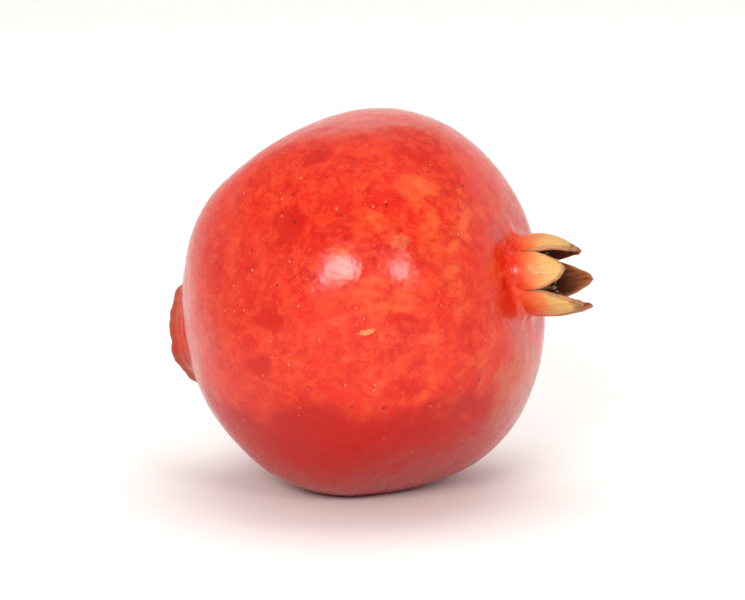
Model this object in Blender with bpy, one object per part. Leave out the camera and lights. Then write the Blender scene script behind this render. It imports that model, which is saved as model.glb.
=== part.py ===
"""A whole pomegranate lying on its side, as picked, in metres with +Z up.

The fruit is one grown piece: the rind with its hollow crown of six sepals at one end and the
raised boss of the stalk at the other. The dried stamens in the crown and the cut stub of the
stalk are pieces of their own. The origin is the middle of the flat spot that the fruit rests on.

Each point of the fruit is first worked out in the fruit's own frame: the body's centre is zero,
local +Z runs from the stalk to the crown, local +X is the side that lies upwards and local +Y
the side that lies to the front. That frame is then laid on its side.
"""

import math

import bmesh
import bpy
import numpy as np
from mathutils import Matrix, Vector

# How the fruit lies: its axis is turned towards the front and its crown end is raised.
YAW = math.radians(-18)
PITCH = math.radians(13)

# The body, before its sides are flattened. It is a little squarer than an ellipsoid.
BODY_RADIUS = 0.0482
BODY_HALF_LENGTH = 0.0430
SQUARENESS = 2.12
CORNER_SHARPNESS = 20
# How deep the body sinks in round the crown, and how widely (as a sine of the angle off the axis).
CROWN_SINK = 0.0031
SINK_WIDTH = 0.37
# The flatter sides between the soft ridges: degrees from the crown, degrees round the axis from
# the top towards the front, and how far the side lies from the body's centre.
SIDES = (
    (118, -4, 0.0430),
    (84, 4, 0.0463),
    (150, -8, 0.0440),
    (72, 96, 0.0482),
    (104, 62, 0.0472),
    (112, 118, 0.0474),
    (74, 156, 0.0460),
    (70, 300, 0.0474),
    (108, 268, 0.0470),
    (84, 226, 0.0476),
    (142, 70, 0.0458),
    (142, 200, 0.0454),
    (142, 318, 0.0456),
)
# The flat spot underneath: the distance of the flatter side that it lies on, its own depth below
# the body's centre, and how softly its edge is rounded.
REST_SIDE = 0.0480
REST_DEPTH = 0.0452
REST_EASE = 0.00015

# The boss at the stalk end, as a turned profile: distance from the axis and height above the body.
BOSS_PROFILE = (
    (0.0022, 0.0022),
    (0.0034, 0.0024),
    (0.0038, 0.0038),
    (0.0064, 0.0043),
    (0.0088, 0.0050),
    (0.0101, 0.0048),
    (0.0111, 0.0040),
    (0.0121, 0.0023),
    (0.0134, 0.0009),
    (0.0156, 0.0002),
    (0.0184, 0.0),
)

# The crown: a short tube, split above the notches into six thick sepals.
SEPAL_COUNT = 6
FIRST_SEPAL = math.radians(11)
NECK_START = math.radians(24)
TUBE_RADIUS = 0.0088
WALL = 0.0024
NOTCH_HEIGHT = 0.0432
TUBE_START = 0.0009
CUP_DEPTH = 0.0085
CUP_FLOOR_RADIUS = 0.0064
DROOP = math.tan(math.radians(10))
DROOP_START = 0.0380
DROOP_EASE = 0.0030
# Each sepal: length, how round its tip is (1 pointed, 2 round), how far its tip leans outwards,
# and how far the tip turns round the axis in degrees.
SEPALS = (
    (0.0120, 1.4, -0.0024, -4),
    (0.0098, 1.7, -0.0010, -4),
    (0.0120, 1.3, -0.0008, 5),
    (0.0120, 1.3, -0.0012, -4),
    (0.0116, 1.3, -0.0008, 3),
    (0.0110, 1.4, -0.0018, 4),
)
SEPAL_SHOULDER = 0.72
NOTCH_RISE = 0.0006

# The mesh.
COLUMNS_PER_SEPAL = 10
BODY_RINGS = 20
NECK_RINGS = 3
SEPAL_RINGS = 6

# The stalk stub, in its socket in the boss.
STUB_RADIUS = 0.0030
STUB_LENGTH = 0.0034
STUB_BEVEL = 0.0004
GAP = 0.0003

# The dried stamens: a shrunken disc on the cup's floor with filaments that fan out from it.
DISC_RADIUS = 0.0056
DISC_THICKNESS = 0.0010
DISC_DIVISIONS = 9
FILAMENT_STEPS = 4
FILAMENT_LENGTH = 0.0050
FILAMENT_TAPER = 0.88
FILAMENT_SPREAD = 0.25

# Colours (linear) with roughness.
RIND = ((0.75, 0.045, 0.022), 0.35)
STAMEN_BROWN = ((0.10, 0.045, 0.018), 0.8)
STALK_BROWN = ((0.26, 0.15, 0.075), 0.75)


def fruit_frame():
    """The place and turn of the fruit's own frame, as the fruit lies on its side."""
    on_its_side = Matrix(((0, 0, 1), (0, -1, 0), (1, 0, 0))).to_4x4()
    turn = Matrix.Rotation(YAW, 4, "Z") @ Matrix.Rotation(-PITCH, 4, "Y")
    return Matrix.Translation((0, 0, REST_DEPTH)) @ turn @ on_its_side


def direction_of(polar, around):
    """Unit directions, from the angle off the crown axis and the angle round it."""
    return np.stack(
        [np.sin(polar) * np.cos(around), np.sin(polar) * np.sin(around), np.cos(polar) + 0 * around],
        axis=-1,
    )


def flattened_sides():
    """(unit normal, distance) of each flatter side, the one that lies underneath included."""
    sides = [
        (direction_of(math.radians(polar), np.float64(math.radians(around))), distance)
        for polar, around, distance in SIDES
    ]
    down = fruit_frame().to_3x3().inverted() @ Vector((0, 0, -1))
    return [*sides, (np.array(down), REST_SIDE)]


def body_surface(directions, lift=0.0):
    """Points on the rind's body: an ellipsoid with softly flattened sides, sunk a little round the
    crown, and raised by lift."""
    across = np.hypot(directions[..., 0], directions[..., 1]) / BODY_RADIUS
    along = np.abs(directions[..., 2]) / BODY_HALF_LENGTH
    nearness = (across**SQUARENESS + along**SQUARENESS) ** (CORNER_SHARPNESS / SQUARENESS)
    for normal, distance in flattened_sides():
        facing = np.maximum(directions @ normal, 0.0)
        nearness = nearness + (facing / distance) ** CORNER_SHARPNESS
    off_axis = np.where(directions[..., 2] > 0, np.hypot(directions[..., 0], directions[..., 1]), np.inf)
    sunk = CROWN_SINK * np.exp(-((off_axis / SINK_WIDTH) ** 2))
    radius = nearness ** (-1 / CORNER_SHARPNESS) + lift - sunk
    return directions * radius[..., None]


def column_angles(crowded):
    """The angle of each column round the axis. Columns are even on the body (crowded 0) and
    gather at the notches on the crown (crowded 1). Also gives each column's place across its sepal."""
    step = 2 / COLUMNS_PER_SEPAL
    even = np.arange(COLUMNS_PER_SEPAL) * step - 1
    across = even + crowded * (np.sin(even * math.pi / 2) - even)
    half = math.pi / SEPAL_COUNT
    centres = FIRST_SEPAL + 2 * half * np.arange(SEPAL_COUNT)
    return (centres[:, None] + half * across).ravel(), np.tile(across, SEPAL_COUNT)


def drooped(points):
    """The crown bends a little downwards from the line of the body's axis."""
    above = np.maximum(points[..., 2] - DROOP_START, 0.0)
    bent = points.copy()
    bent[..., 0] -= DROOP * above**2 / (above + DROOP_EASE)
    return bent


def turned(around, radius, height):
    """Points at these angles, distances from the axis and heights along it."""
    around, radius, height = np.broadcast_arrays(around, radius, height)
    return np.stack([radius * np.cos(around), radius * np.sin(around), height], axis=-1)


def body_rings():
    """Rings from the stalk's socket to the start of the neck."""
    around, _ = column_angles(0.0)
    rings = []
    for distance, height in BOSS_PROFILE:
        polar = math.pi - math.asin(distance / BODY_HALF_LENGTH)
        rings.append(body_surface(direction_of(polar, around), height))
    last = math.pi - math.asin(BOSS_PROFILE[-1][0] / BODY_HALF_LENGTH)
    for polar in np.linspace(last, NECK_START, BODY_RINGS + 1)[1:]:
        rings.append(body_surface(direction_of(polar, around)))
    return rings


def neck_rings(body, tube):
    """Rings of a smooth hollow curve from the last ring of the body up into the tube."""
    along_body = body[-1] - body[-2]
    along_tube = tube[1] - tube[0]
    reach = np.linalg.norm(tube[0] - body[-1], axis=-1, keepdims=True) / 3
    along_body *= reach / np.linalg.norm(along_body, axis=-1, keepdims=True)
    along_tube *= reach / np.linalg.norm(along_tube, axis=-1, keepdims=True)
    controls = (body[-1], body[-1] + along_body, tube[0] - along_tube, tube[0])
    rings = []
    for s in np.linspace(0, 1, NECK_RINGS + 2)[1:-1]:
        weights = ((1 - s) ** 3, 3 * s * (1 - s) ** 2, 3 * s**2 * (1 - s), s**3)
        rings.append(sum(w * c for w, c in zip(weights, controls)))
    return rings


def crown_grid():
    """The crown's outer rings, its rounded rim and its inner rings, down to the tube's start."""
    around, across = column_angles(1.0)
    length, roundness, lean, twist = (
        np.repeat(column, COLUMNS_PER_SEPAL) for column in np.array(SEPALS).T
    )
    rim = NOTCH_RISE + length * (1 - np.abs(across) ** roundness) ** SEPAL_SHOULDER
    spare = (1 - np.abs(across)) * math.pi / SEPAL_COUNT * TUBE_RADIUS
    rounding = np.minimum(WALL / 3, WALL / 12 + spare * 0.7)

    def wall_middle(height):
        share = np.maximum(height, 0) / length
        radius = TUBE_RADIUS + lean * share**2
        return turned(around + np.radians(twist) * share**2, radius, NOTCH_HEIGHT + height)

    def half_wall(height):
        outwards = turned(around, 1.0, 0.0)
        return outwards * (WALL / 2 * (1 - 0.4 * np.maximum(height, 0) / length))[:, None]

    top = rim - rounding
    heights = [-TUBE_START + s * (top + TUBE_START) for s in np.linspace(0, 1, SEPAL_RINGS + 1)]
    outer = [wall_middle(h) + half_wall(h) for h in heights]
    inner = [wall_middle(h) - half_wall(h) for h in reversed(heights)]
    edge = wall_middle(top)
    along_rim = np.roll(edge, -1, axis=0) - np.roll(edge, 1, axis=0)
    beyond = np.cross(turned(around, 1.0, 0.0), along_rim)
    beyond /= np.linalg.norm(beyond, axis=-1, keepdims=True)
    crest = edge + beyond * rounding[:, None]
    return [drooped(ring) for ring in [*outer, crest, *inner]]


def cup_rings():
    """Rings from the inside of the tube down to the cup's floor."""
    around, _ = column_angles(1.0)
    floor = NOTCH_HEIGHT - CUP_DEPTH
    return [
        drooped(turned(around, TUBE_RADIUS - WALL / 2, floor + 0.0034)),
        drooped(turned(around, CUP_FLOOR_RADIUS + 0.0010, floor + 0.0012)),
        drooped(turned(around, CUP_FLOOR_RADIUS, floor)),
        drooped(turned(around, CUP_FLOOR_RADIUS / 2, floor)),
    ]


def pressed_flat(points):
    """The underside ends in a flat spot at height zero, with a soft edge round it."""
    height = points[..., 2]
    eased = (height + REST_EASE) ** 2 / (4 * REST_EASE)
    eased = np.where(height < -REST_EASE, 0.0, eased)
    pressed = points.copy()
    pressed[..., 2] = np.where(height > REST_EASE, height, eased)
    return pressed


def laid_down(points):
    """Points of the fruit's own frame, as the fruit lies on its flat spot."""
    turn = np.array(fruit_frame())
    return pressed_flat(points @ turn[:3, :3].T + turn[:3, 3])


def skin_rings(name, rings):
    """A closed mesh through these rings, with a point at the middle of the first and the last."""
    bm = bmesh.new()
    grid = [[bm.verts.new(point) for point in ring] for ring in rings]
    for low, high in zip(grid, grid[1:]):
        for i in range(len(low)):
            bm.faces.new((low[i - 1], low[i], high[i], high[i - 1]))
    for ring, flip in ((grid[0], True), (grid[-1], False)):
        middle = bm.verts.new(sum((vert.co for vert in ring), Vector()) / len(ring))
        for i in range(len(ring)):
            pair = (ring[i], ring[i - 1]) if flip else (ring[i - 1], ring[i])
            bm.faces.new((*pair, middle))
    bmesh.ops.recalc_face_normals(bm, faces=bm.faces)
    mesh = bpy.data.meshes.new(name)
    bm.to_mesh(mesh)
    bm.free()
    mesh.shade_smooth()
    return mesh


def material(name, colour, roughness):
    made = bpy.data.materials.new(name)
    made.use_nodes = True
    shader = made.node_tree.nodes["Principled BSDF"]
    shader.inputs["Base Color"].default_value = (*colour, 1)
    shader.inputs["Roughness"].default_value = roughness
    return made


def add_object(name, mesh, look, place=None):
    made = bpy.data.objects.new(name, mesh)
    bpy.context.scene.collection.objects.link(made)
    if place:
        made.matrix_world = place
    mesh.materials.append(material(name, *look))
    return made


def add_fruit():
    """The rind with its crown and its boss, as one skin from the stalk's socket to the cup."""
    body = body_rings()
    crown = crown_grid()
    rings = [*body, *neck_rings(body, crown), *crown, *cup_rings()]
    add_object("fruit", skin_rings("fruit", [laid_down(ring) for ring in rings]), RIND)


def add_stalk_stub():
    """A short cut end of the stalk, standing in the boss's socket."""
    socket_floor = body_surface(direction_of(math.pi, np.float64(0)), BOSS_PROFILE[1][1])
    bm = bmesh.new()
    bmesh.ops.create_cone(
        bm,
        cap_ends=True,
        segments=16,
        radius1=STUB_RADIUS * 0.92,
        radius2=STUB_RADIUS,
        depth=STUB_LENGTH,
    )
    bmesh.ops.bevel(
        bm,
        geom=[e for e in bm.edges if e.calc_face_angle() > math.radians(60)],
        offset=STUB_BEVEL,
        affect="EDGES",
    )
    mesh = bpy.data.meshes.new("stalk_stub")
    bm.to_mesh(mesh)
    bm.free()
    middle = Matrix.Translation((0, 0, socket_floor[2] - GAP - STUB_LENGTH / 2))
    add_object("stalk_stub", mesh, STALK_BROWN, fruit_frame() @ middle)


def draw_out_filament(bm, face, length):
    """Draws one face of the disc out into a tapering filament that leans away from the middle."""
    root = face.calc_center_median() * (FILAMENT_SPREAD / DISC_RADIUS)
    step_up = Vector((root.x - DROOP / 2, root.y, 1))
    for _ in range(FILAMENT_STEPS):
        face = bmesh.ops.extrude_discrete_faces(bm, faces=[face])["faces"][0]
        bmesh.ops.translate(bm, verts=face.verts, vec=step_up * length / FILAMENT_STEPS)
        middle = face.calc_center_median()
        for vert in face.verts:
            vert.co = middle + (vert.co - middle) * FILAMENT_TAPER


def add_stamens():
    """A low disc on the cup's floor, with every other part of its top drawn out into a filament."""
    bm = bmesh.new()
    bmesh.ops.create_grid(
        bm, x_segments=DISC_DIVISIONS, y_segments=DISC_DIVISIONS, size=DISC_RADIUS
    )
    for vert in bm.verts:
        # Rounds the square grid off into a disc.
        x, y = vert.co.x / DISC_RADIUS, vert.co.y / DISC_RADIUS
        vert.co.x *= math.sqrt(1 - y * y / 2)
        vert.co.y *= math.sqrt(1 - x * x / 2)
    raised = bmesh.ops.extrude_face_region(bm, geom=list(bm.faces), use_keep_orig=True)["geom"]
    top_verts = [part for part in raised if isinstance(part, bmesh.types.BMVert)]
    top_faces = [part for part in raised if isinstance(part, bmesh.types.BMFace)]
    bmesh.ops.translate(bm, verts=top_verts, vec=(0, 0, DISC_THICKNESS))
    for number, face in enumerate(top_faces[::2]):
        draw_out_filament(bm, face, FILAMENT_LENGTH * (0.75 + 0.25 * math.cos(number * 2.4)))
    bmesh.ops.recalc_face_normals(bm, faces=bm.faces)
    mesh = bpy.data.meshes.new("stamens")
    bm.to_mesh(mesh)
    bm.free()
    floor = Vector(drooped(np.array((0, 0, NOTCH_HEIGHT - CUP_DEPTH + GAP))))
    add_object("stamens", mesh, STAMEN_BROWN, fruit_frame() @ Matrix.Translation(floor))


def main():
    for old in list(bpy.data.objects):
        bpy.data.objects.remove(old)
    add_fruit()
    add_stalk_stub()
    add_stamens()


main()
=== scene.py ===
"""A ripe pomegranate on its side: its mottled rind, crown of dried sepals, stamens and stalk."""

import math

import bmesh
import bpy
import numpy as np
from bpy.props import FloatProperty, FloatVectorProperty, IntProperty, PointerProperty
from mathutils import Matrix, Vector


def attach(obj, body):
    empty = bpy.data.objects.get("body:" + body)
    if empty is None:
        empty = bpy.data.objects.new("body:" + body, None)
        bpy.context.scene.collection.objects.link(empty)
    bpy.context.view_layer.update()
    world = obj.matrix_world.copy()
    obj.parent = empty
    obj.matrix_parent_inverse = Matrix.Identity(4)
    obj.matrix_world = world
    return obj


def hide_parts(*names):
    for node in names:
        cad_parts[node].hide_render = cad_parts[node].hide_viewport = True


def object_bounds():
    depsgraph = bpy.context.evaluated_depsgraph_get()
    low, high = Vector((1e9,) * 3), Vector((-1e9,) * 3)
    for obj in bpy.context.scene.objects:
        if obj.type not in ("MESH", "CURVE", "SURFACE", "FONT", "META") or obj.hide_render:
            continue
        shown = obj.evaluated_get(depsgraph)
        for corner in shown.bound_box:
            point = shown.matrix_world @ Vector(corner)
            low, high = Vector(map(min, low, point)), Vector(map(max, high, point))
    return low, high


bl_info = {
    "name": "Pomegranate",
    "version": (1, 0, 0),
    "blender": (4, 5, 0),
    "location": "View3D > Sidebar > Pomegranate",
    "description": "Makes a ripe pomegranate on its side, and the stage that it lies on",
    "category": "Add Mesh",
}

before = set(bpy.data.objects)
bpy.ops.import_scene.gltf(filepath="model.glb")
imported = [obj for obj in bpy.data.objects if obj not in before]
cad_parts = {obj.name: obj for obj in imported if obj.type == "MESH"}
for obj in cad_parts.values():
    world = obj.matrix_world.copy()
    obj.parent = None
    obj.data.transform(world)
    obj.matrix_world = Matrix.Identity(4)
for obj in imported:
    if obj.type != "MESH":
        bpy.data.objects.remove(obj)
CAD_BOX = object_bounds()

# How the fruit lies: its axis is turned towards the front and its crown end is raised.
YAW = math.radians(-18)
PITCH = math.radians(13)

# The body of the rind. Squareness is 2 for an ellipsoid and more for squarer shoulders, and a
# greater corner sharpness makes the ridges between the flatter sides crisper.
BODY_RADIUS = 0.0482
BODY_HALF_LENGTH = 0.0430
SQUARENESS = 2.12
CORNER_SHARPNESS = 20
# The body sinks by this much round the crown, and less the further it is from the axis: the
# width is the sine of the angle off the axis where the sink has faded to a third.
CROWN_SINK = 0.0031
SINK_WIDTH = 0.37
# The flatter sides: degrees from the crown, degrees round the axis from the top towards the
# front, and distance from the body's centre.
SIDES = (
    (118, -4, 0.0430),
    (84, 4, 0.0463),
    (150, -8, 0.0440),
    (72, 96, 0.0482),
    (104, 62, 0.0472),
    (112, 118, 0.0474),
    (74, 156, 0.0460),
    (70, 300, 0.0474),
    (108, 268, 0.0470),
    (84, 226, 0.0476),
    (142, 70, 0.0458),
    (142, 200, 0.0454),
    (142, 318, 0.0456),
)
# The side underneath: its distance, how high the body's centre then lies over the floor, and
# the height over which the rind rolls off the flat spot.
REST_SIDE = 0.0480
REST_DEPTH = 0.0452
REST_EASE = 0.00015

# The boss at the stalk end: distance from the axis and height above the body.
BOSS_PROFILE = (
    (0.0022, 0.0022),
    (0.0034, 0.0024),
    (0.0038, 0.0038),
    (0.0064, 0.0043),
    (0.0088, 0.0050),
    (0.0101, 0.0048),
    (0.0111, 0.0040),
    (0.0121, 0.0023),
    (0.0134, 0.0009),
    (0.0156, 0.0002),
    (0.0184, 0.0),
)
# The boss is even at its socket and becomes uneven over this distance from it.
SOCKET_MARGIN = 0.004

# The crown: a short tube, split above the notches into sepals. The neck leaves the body at this
# angle off the axis, and the tube starts this far below the notches.
SEPAL_COUNT = 6
FIRST_SEPAL = math.radians(11)
NECK_START = math.radians(24)
TUBE_RADIUS = 0.0088
WALL = 0.0024
NOTCH_HEIGHT = 0.0432
TUBE_START = 0.0009
CUP_DEPTH = 0.0085
CUP_FLOOR_RADIUS = 0.0064
# The crown's droop: its slope in the end, the height where it starts and how gently it starts.
DROOP = math.tan(math.radians(10))
DROOP_START = 0.0380
DROOP_EASE = 0.0030
# Each sepal: length, how round its tip is (1 pointed, 2 round), how far its tip leans outwards,
# how far its middle bows outwards, how far its tip turns round the axis in degrees, how dry it is.
SEPALS = (
    (0.0120, 1.4, -0.0024, 0.0008, -4, 1.0),
    (0.0098, 1.7, -0.0010, 0.0004, -4, 0.8),
    (0.0120, 1.3, -0.0008, 0.0002, 5, 1.0),
    (0.0120, 1.3, -0.0012, 0.0003, -4, 1.0),
    (0.0116, 1.3, -0.0008, 0.0003, 3, 1.0),
    (0.0110, 1.4, -0.0018, 0.0006, 4, 1.0),
)
# A smaller shoulder makes the sepals fuller, and the rim is this high in the notches.
SEPAL_SHOULDER = 0.72
NOTCH_RISE = 0.0006
# The fold that runs down from each notch: its depth, its width across the sepal and the height
# over the notch where it ends.
VALLEY_DEPTH = 0.0004
VALLEY_WIDTH = 0.22
VALLEY_TOP = 0.004
# How much thinner a sepal's wall is at its tip and along its sides.
TIP_THINNING = 0.45
SIDE_THINNING = 0.25
# How wide the marked edges are, outside and inside the sepals.
OUTER_EDGE = 0.0007
INNER_EDGE = 0.0009
# The crown mark at the top of the neck and at the notches; it's 1 at a dry tip.
NECK_MARK = 0.23
NOTCH_MARK = 0.3

# The stalk stub stands in its socket in the boss, with a gap under it, as the stamens have.
STUB_RADIUS = 0.0030
STUB_LENGTH = 0.0034
GAP = 0.0003

# At the boss's top, puckers are deeper than the body's by this many times the body's depth.
BOSS_BUMPINESS = 4.0

# The clouds in the rind's red: the setting with their colour, their share, scale, cover, softness,
# detail and warp.
RIND_CLOUDS = (
    ("deep_red", 0.5, 62.0, 0.46, 0.14, 4.0, 0.4),
    ("orange", 0.5, 120.0, 0.48, 0.10, 4.0, 0.7),
    ("orange", 0.6, 300.0, 0.46, 0.06, 3.0, 0.4),
    ("deep_red", 0.5, 210.0, 0.40, 0.07, 3.0, 0.4),
    ("deep_red", 0.4, 560.0, 0.40, 0.08, 2.0, 0.4),
    ("orange", 0.35, 760.0, 0.42, 0.06, 3.0, 0.4),
    ("deep_red", 0.3, 1250.0, 0.42, 0.08, 2.0, 0.4),
)
# Painted shade: the lower side is painted a deeper red that stands in for the darker, redder
# light low down. Its top is uneven by the raggedness, and a height is compared with it after
# that is added.
PAINTED_SHADE_RED = (0.40, 0.002, 0.0)
SHADE_TOP = 0.049
SHADE_EASE = 0.007
SHADE_RAGGEDNESS = 0.032
# Dark stains: degrees from the crown, degrees round the axis, and radius.
STAINS = ((90, 56, 0.005), (98, 81, 0.0036), (104, 96, 0.003), (84, 34, 0.0035))
# How rough the glossy rind is at least and at most, and the dry parts.
GLOSSY_ROUGHNESS = (0.20, 0.30)
DRY_ROUGHNESS = 0.62

# The rows and columns of the meshes.
COLUMNS_PER_SEPAL = 34
BOSS_ROWS = 30
BODY_ROWS = 120
NECK_ROWS = 16
SEPAL_ROWS = 28
RIM_ROWS = 7
CUP_ROWS = 14
STUB_COLUMNS = 60
STUB_ROWS = 34

# The tip mark is 0 at the foot of a filament, 1 at its end and this on its anther.
ANTHER_MARK = 1.4

# The stage. The floor is flat as far as its radius and then sweeps up into a wall.
FLOOR_RADIUS = 1.3
SWEEP_RADIUS = 0.5
SWEEP_STEPS = 12
FLOOR_SIDES = 96
WALL_TOP = 1.1
LENS = 190.0
# Each lamp: name, place from the middle of the fruit, width and height, share of the lamp power,
# and whether the rind mirrors it.
LAMPS = (
    ("left_lamp", (-0.28, -1.0, 0.50), (0.50, 0.26), 1.25, True),
    ("right_lamp", (0.54, -1.0, 0.54), (0.26, 0.28), 0.6, True),
    ("top_lamp", (0.1, 0.4, 1.6), (1.6, 1.6), 3.0, False),
)


def length_setting(name, description, default, least=0.0):
    return FloatProperty(
        name=name,
        description=description,
        default=default,
        min=least,
        subtype="DISTANCE",
        unit="LENGTH",
    )


def angle_setting(name, description, default):
    return FloatProperty(
        name=name, description=description, default=default, subtype="ANGLE", unit="ROTATION"
    )


def colour_setting(name, description, default):
    return FloatVectorProperty(
        name=name, description=description, default=default, min=0.0, max=1.0, subtype="COLOR"
    )


class RindSettings(bpy.types.PropertyGroup):
    swelling: length_setting(
        "Swelling", "Height of the soft swellings between the fruit's ridges", 0.00042
    )
    pucker: length_setting("Pucker", "Depth of the small puckers in the rind", 0.00009)
    seed: FloatProperty(name="Seed", description="Picks another set of swellings", default=3.0)
    red: colour_setting("Red", "Main colour of the rind", (0.60, 0.021, 0.005))
    deep_red: colour_setting("Deep red", "Colour of the dark mottling", (0.45, 0.004, 0.001))
    orange: colour_setting("Orange", "Colour of the light mottling", (0.68, 0.062, 0.018))
    tan: colour_setting("Tan", "Colour of the sepals", (0.62, 0.38, 0.14))


class StamenSettings(bpy.types.PropertyGroup):
    count: IntProperty(name="Count", description="Number of stamens", default=190, min=1)
    length: length_setting("Length", "Length of the longest stamens", 0.0150, 0.001)
    thickness: length_setting("Thickness", "Radius of a stamen's filament", 0.00012, 0.00002)
    seed: IntProperty(name="Seed", description="Picks another arrangement", default=4)


class StalkSettings(bpy.types.PropertyGroup):
    ridge: length_setting("Ridge", "Depth of the furrows in the bark", 0.00022)
    bark: colour_setting("Bark", "Colour of the dry bark", (0.20, 0.12, 0.065))


class StageSettings(bpy.types.PropertyGroup):
    azimuth: angle_setting("Azimuth", "Where the camera stands, round from the front", 0.0)
    elevation: angle_setting("Elevation", "How far the camera looks down", math.radians(12))
    distance: length_setting("Distance", "From the camera to the fruit", 0.95, 0.1)
    lamp_power: FloatProperty(
        name="Lamp power",
        description="The power that each lamp has a share of",
        default=4.45,
        min=0.0,
        subtype="POWER",
        unit="POWER",
    )


class PomegranateSettings(bpy.types.PropertyGroup):
    rind: PointerProperty(type=RindSettings)
    stamens: PointerProperty(type=StamenSettings)
    stalk: PointerProperty(type=StalkSettings)
    stage: PointerProperty(type=StageSettings)


# Node trees


def add_node(tree, kind, inputs=None, **settings):
    """A node with these settings. Each input gets a value, or a link if it's given a socket."""
    node = tree.nodes.new(kind)
    for name, value in settings.items():
        setattr(node, name, value)
    for name, value in (inputs or {}).items():
        if isinstance(value, bpy.types.NodeSocket):
            tree.links.new(value, node.inputs[name])
        else:
            node.inputs[name].default_value = value
    return node


def math_out(tree, operation, *values, clamp=False):
    """The result of a math node on these values or sockets."""
    inputs = dict(enumerate(values))
    node = add_node(tree, "ShaderNodeMath", inputs, operation=operation, use_clamp=clamp)
    return node.outputs[0]


def product(tree, first, *others):
    """These values or sockets multiplied together."""
    for other in others:
        first = math_out(tree, "MULTIPLY", first, other)
    return first


def vector_out(tree, operation, first, second=None, scale=None):
    inputs = {0: first}
    if second is not None:
        inputs[1] = second
    if scale is not None:
        inputs["Scale"] = scale
    node = add_node(tree, "ShaderNodeVectorMath", inputs, operation=operation)
    return node.outputs["Value" if operation in {"LENGTH", "DOT_PRODUCT"} else "Vector"]


def eased(tree, value, low, high, to_low=0.0, to_high=1.0):
    """value, brought smoothly from the range low to high into another range."""
    inputs = {
        "Value": value,
        "From Min": low,
        "From Max": high,
        "To Min": to_low,
        "To Max": to_high,
    }
    node = add_node(tree, "ShaderNodeMapRange", inputs, interpolation_type="SMOOTHSTEP")
    return node.outputs["Result"]


def blended(tree, factor, first, second):
    """Two colours mixed by a factor."""
    inputs = {0: factor}
    for index, colour in ((6, first), (7, second)):
        is_socket = isinstance(colour, bpy.types.NodeSocket)
        inputs[index] = colour if is_socket else (*colour, 1.0)
    return add_node(tree, "ShaderNodeMix", inputs, data_type="RGBA").outputs[2]


def between(tree, factor, first, second):
    """Two numbers mixed by a factor."""
    inputs = {0: factor, 2: first, 3: second}
    return add_node(tree, "ShaderNodeMix", inputs, data_type="FLOAT").outputs[0]


def vector_of(tree, **parts):
    """A vector from its X, Y and Z; the ones left out are 0."""
    return add_node(tree, "ShaderNodeCombineXYZ", parts).outputs["Vector"]


def height_of(tree, place):
    """The Z of a place."""
    return add_node(tree, "ShaderNodeSeparateXYZ", {"Vector": place}).outputs["Z"]


def noise_out(tree, place, scale, detail, roughness=0.5, distortion=0.0):
    """Smooth noise between 0 and 1, mostly near 0.5."""
    inputs = {
        "Vector": place,
        "Scale": scale,
        "Detail": detail,
        "Roughness": roughness,
        "Distortion": distortion,
    }
    return add_node(tree, "ShaderNodeTexNoise", inputs).outputs["Fac"]


def new_tree(name, kind, inputs, outputs):
    """A node tree. Each input has a number as its default, or is named after its type of socket,
    and so is each output."""
    tree = bpy.data.node_groups.new(name, kind)
    for title, default in inputs.items():
        plain = isinstance(default, str)
        socket_type = default if plain else type(default).__name__.title()
        socket = tree.interface.new_socket(
            title, in_out="INPUT", socket_type=f"NodeSocket{socket_type}"
        )
        if not plain:
            socket.default_value = default
    for title, socket_type in outputs.items():
        tree.interface.new_socket(title, in_out="OUTPUT", socket_type=f"NodeSocket{socket_type}")
    return tree, tree.nodes.new("NodeGroupInput"), tree.nodes.new("NodeGroupOutput")


# Surface effects that several materials share


def mottling_group():
    """Cloudy patches with soft edges: Mask is 1 inside them."""
    tree, given, result = new_tree(
        "Mottling",
        "ShaderNodeTree",
        {
            "Vector": "Vector",
            "Scale": 80.0,
            "Detail": 4.0,
            "Cover": 0.5,
            "Softness": 0.1,
            "Warp": 0.4,
        },
        {"Mask": "Float"},
    )
    place, scale, detail, cover, softness, warp = list(given.outputs)[:6]
    noise = noise_out(tree, place, scale, detail, 0.6, warp)
    middle = math_out(tree, "SUBTRACT", 1.0, cover)
    low = math_out(tree, "SUBTRACT", middle, softness)
    high = math_out(tree, "ADD", middle, softness)
    tree.links.new(eased(tree, noise, low, high), result.inputs["Mask"])
    return tree


def dots_group():
    """Small scattered dots of uneven size: Mask is 1 at their middles."""
    tree, given, result = new_tree(
        "Dots",
        "ShaderNodeTree",
        {
            "Vector": "Vector",
            "Scale": 400.0,
            "Size": 0.25,
            "Share": 0.5,
        },
        {"Mask": "Float", "Ring": "Float"},
    )
    cells = add_node(
        tree,
        "ShaderNodeTexVoronoi",
        {"Vector": given.outputs["Vector"], "Scale": given.outputs["Scale"], "Randomness": 1.0},
    )
    pick = add_node(tree, "ShaderNodeSeparateColor", {"Color": cells.outputs["Color"]})
    chosen = math_out(tree, "LESS_THAN", pick.outputs["Red"], given.outputs["Share"])
    uneven = math_out(tree, "MULTIPLY_ADD", pick.outputs["Green"], 0.7, 0.5)
    radius = product(tree, given.outputs["Size"], uneven)
    dot = eased(tree, cells.outputs["Distance"], radius, product(tree, radius, 0.35))
    halo = eased(tree, cells.outputs["Distance"], product(tree, radius, 2.0), radius)
    ring = math_out(tree, "SUBTRACT", halo, dot, clamp=True)
    tree.links.new(product(tree, dot, chosen), result.inputs["Mask"])
    tree.links.new(product(tree, ring, chosen), result.inputs["Ring"])
    return tree


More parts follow.
